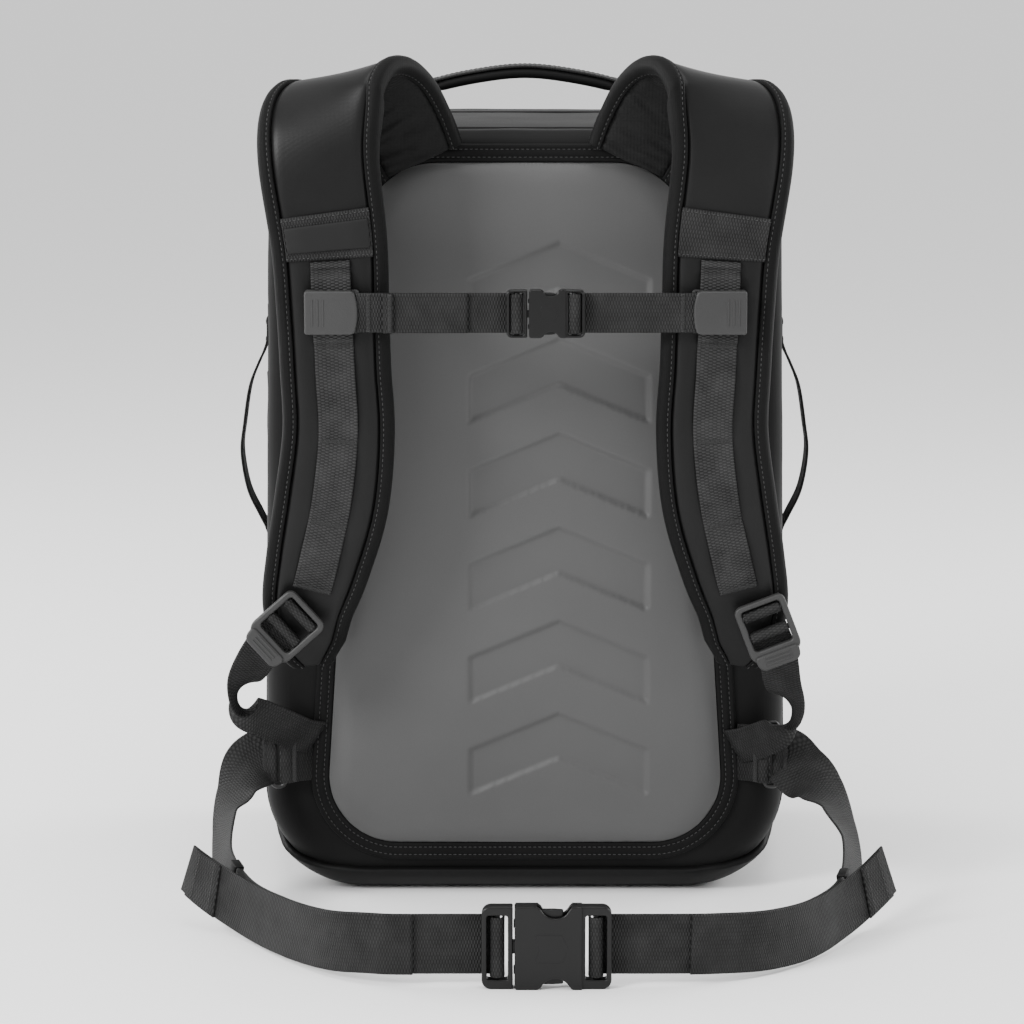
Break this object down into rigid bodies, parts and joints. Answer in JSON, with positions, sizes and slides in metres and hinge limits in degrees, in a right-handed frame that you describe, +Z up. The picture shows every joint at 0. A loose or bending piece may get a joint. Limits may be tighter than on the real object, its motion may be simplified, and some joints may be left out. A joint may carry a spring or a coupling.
{
  "type": "backpack",
  "caption": "Boxy waterproof tackle backpack with a moulded back panel, padded shoulder straps, sternum strap, hooked waist belt, grab handles and a zipped front lid.",
  "frame": {"origin": "centre of the base's resting face, on the floor", "axes": "+X to the right seen from the harness side, +Y from the harness side towards the lid, +Z up"},
  "size_m": [0.4614, 0.455, 0.5557],
  "materials": {
    "shell_fabric": "coated cloth, matt",
    "boot_rubber": "moulded, satin",
    "panel_foam": "moulded foam with a smooth skin, satin",
    "binding_tape": "woven tape, matt",
    "stiffener": "sheet, matt",
    "lining": "mesh, matt",
    "zip_tape": "sealed zip, satin",
    "moulded_trim": "moulded, satin",
    "harness_webbing": "woven webbing, matt",
    "lash_webbing": "woven webbing, matt",
    "strap_fabric": "smooth knitted face, satin",
    "patch_rubber": "moulded, matt",
    "moulded_hardware": "moulded, fine texture",
    "buckle_plastic": "moulded, satin",
    "hook_steel": "plated, satin"
  },
  "bodies": {
    "bag": {"rear_shell": "shell_fabric", "side_gusset": "shell_fabric", "front_shell": "shell_fabric", "base_boot": "boot_rubber", "back_panel": "panel_foam", "panel_binding": "binding_tape", "frame_sheet": "stiffener", "inner_sleeve": "lining", "zip_tape_fixed": "zip_tape", "zip_end_caps": "moulded_trim", "top_handle_anchors": "harness_webbing", "side_lash": "lash_webbing", "side_handle_anchors": "harness_webbing", "belt_anchor_tabs": "harness_webbing", "belt_hooks": "hook_steel", "belt_end_folds": "harness_webbing", "lower_webbing_left": "harness_webbing", "lower_webbing_right": "harness_webbing", "strap_pad_left": "strap_fabric", "strap_pad_right": "strap_fabric", "strap_tapes_left": "binding_tape", "strap_tapes_right": "binding_tape", "strap_lash": "lash_webbing", "strap_bands": "lash_webbing", "blank_patch": "patch_rubber", "lock_loops": "harness_webbing"},
    "lock_left": {"ladder_lock_left": "moulded_hardware", "adjuster_wrap_left": "harness_webbing"},
    "lock_right": {"ladder_lock_right": "moulded_hardware", "adjuster_wrap_right": "harness_webbing"},
    "sternum_left": {"sternum_clip_left": "moulded_hardware", "sternum_webbing_left": "harness_webbing", "sternum_tail": "harness_webbing"},
    "sternum_plug": {"sternum_male": "buckle_plastic", "sternum_wrap_left": "harness_webbing"},
    "sternum_prong_upper": {"sternum_prong_top": "buckle_plastic"},
    "sternum_prong_lower": {"sternum_prong_bottom": "buckle_plastic"},
    "sternum_right": {"sternum_clip_right": "moulded_hardware", "sternum_webbing_right": "harness_webbing", "sternum_female": "buckle_plastic", "sternum_wrap_right": "harness_webbing"},
    "belt_left": {"belt_webbing_left": "harness_webbing", "belt_tail_left": "harness_webbing"},
    "belt_plug": {"belt_male": "buckle_plastic", "belt_wrap_left": "harness_webbing"},
    "belt_prong_upper": {"belt_prong_top": "buckle_plastic"},
    "belt_prong_lower": {"belt_prong_bottom": "buckle_plastic"},
    "belt_right": {"belt_female": "buckle_plastic", "belt_wrap_right": "harness_webbing", "belt_webbing_right": "harness_webbing", "belt_tail_right": "harness_webbing"},
    "top_handle": {"top_handle_grip": "strap_fabric", "top_handle_webbing": "harness_webbing"},
    "grab_left": {"side_handle_left": "harness_webbing"},
    "grab_right": {"side_handle_right": "harness_webbing"},
    "lid": {"lid_panel": "shell_fabric", "zip_tape_lid": "zip_tape", "lid_lash": "lash_webbing"},
    "zip_runner": {"zip_slider": "moulded_trim"},
    "zip_tab": {"zip_pull": "moulded_trim"}
  },
  "joints": [
    {"name": "lid_hinge", "type": "hinge", "parent": "bag", "child": "lid", "pos_m": [0, 0.115, 0.15], "axis": [-1, 0, 0], "range_deg": [0, 100]},
    {"name": "zip_travel", "type": "slide", "parent": "lid", "child": "zip_runner", "axis": [0, 0, 1], "range_m": [0, 0.195]},
    {"name": "zip_tab_flip", "type": "hinge", "parent": "zip_runner", "child": "zip_tab", "pos_m": [0.1185, 0.124, 0.2024], "axis": [1, 0, 0], "range_deg": [0, 110]},
    {"name": "top_handle_swing", "type": "hinge", "parent": "bag", "child": "top_handle", "pos_m": [0, -0.045, 0.513], "axis": [1, 0, 0], "range_deg": [-18, 18]},
    {"name": "grab_swing_left", "type": "hinge", "parent": "bag", "child": "grab_left", "pos_m": [-0.18, 0, 0.289], "axis": [0, 0, 1], "range_deg": [-15, 15]},
    {"name": "grab_swing_right", "type": "hinge", "parent": "bag", "child": "grab_right", "pos_m": [0.18, 0, 0.289], "axis": [0, 0, 1], "range_deg": [-15, 15]},
    {"name": "lock_tilt_left", "type": "hinge", "parent": "bag", "child": "lock_left", "pos_m": [-0.144, -0.1755, 0.201], "axis": [-0.6691, 0, 0.7431], "range_deg": [0, 20]},
    {"name": "lock_tilt_right", "type": "hinge", "parent": "bag", "child": "lock_right", "pos_m": [0.151, -0.1755, 0.203], "axis": [-0.9336, 0, -0.3584], "range_deg": [0, 20]},
    {"name": "sternum_height", "type": "slide", "parent": "bag", "child": "sternum_left", "axis": [0, 0, 1], "range_m": [-0.004, 0.008]},
    {"name": "sternum_height_right", "type": "slide", "parent": "bag", "child": "sternum_right", "axis": [0, 0, 1], "range_m": [-0.004, 0.008]},
    {"name": "sternum_release", "type": "slide", "parent": "sternum_left", "child": "sternum_plug", "axis": [-1, 0, 0], "range_m": [0, 0.022]},
    {"name": "sternum_squeeze", "type": "hinge", "parent": "sternum_plug", "child": "sternum_prong_upper", "pos_m": [0.0024, -0.201, 0.40597], "axis": [0, 1, 0], "range_deg": [0, 8], "stiffness_Nm_per_rad": 0.02},
    {"name": "sternum_squeeze_lower", "type": "hinge", "parent": "sternum_plug", "child": "sternum_prong_lower", "pos_m": [0.0024, -0.201, 0.39003], "axis": [0, -1, 0], "range_deg": [0, 8], "stiffness_Nm_per_rad": 0.02},
    {"name": "belt_lift", "type": "hinge", "parent": "bag", "child": "belt_left", "pos_m": [0, -0.1234, 0.097], "axis": [-1, 0, 0], "range_deg": [0, 35]},
    {"name": "belt_lift_right", "type": "hinge", "parent": "bag", "child": "belt_right", "pos_m": [0, -0.1234, 0.097], "axis": [-1, 0, 0], "range_deg": [0, 35]},
    {"name": "belt_release", "type": "slide", "parent": "belt_left", "child": "belt_plug", "axis": [-1, 0, 0], "range_m": [0, 0.036]},
    {"name": "belt_squeeze", "type": "hinge", "parent": "belt_plug", "child": "belt_prong_upper", "pos_m": [-0.0066, -0.321, 0.04041], "axis": [0, 1, 0], "range_deg": [0, 7], "stiffness_Nm_per_rad": 0.05},
    {"name": "belt_squeeze_lower", "type": "hinge", "parent": "belt_plug", "child": "belt_prong_lower", "pos_m": [-0.0066, -0.321, 0.01159], "axis": [0, -1, 0], "range_deg": [0, 7], "stiffness_Nm_per_rad": 0.05}
  ],
  "couplings": [
    {"joint": "sternum_height_right", "follows": "sternum_height", "ratio": 1},
    {"joint": "sternum_squeeze_lower", "follows": "sternum_squeeze", "ratio": 1},
    {"joint": "belt_lift_right", "follows": "belt_lift", "ratio": 1},
    {"joint": "belt_squeeze_lower", "follows": "belt_squeeze", "ratio": 1}
  ]
}
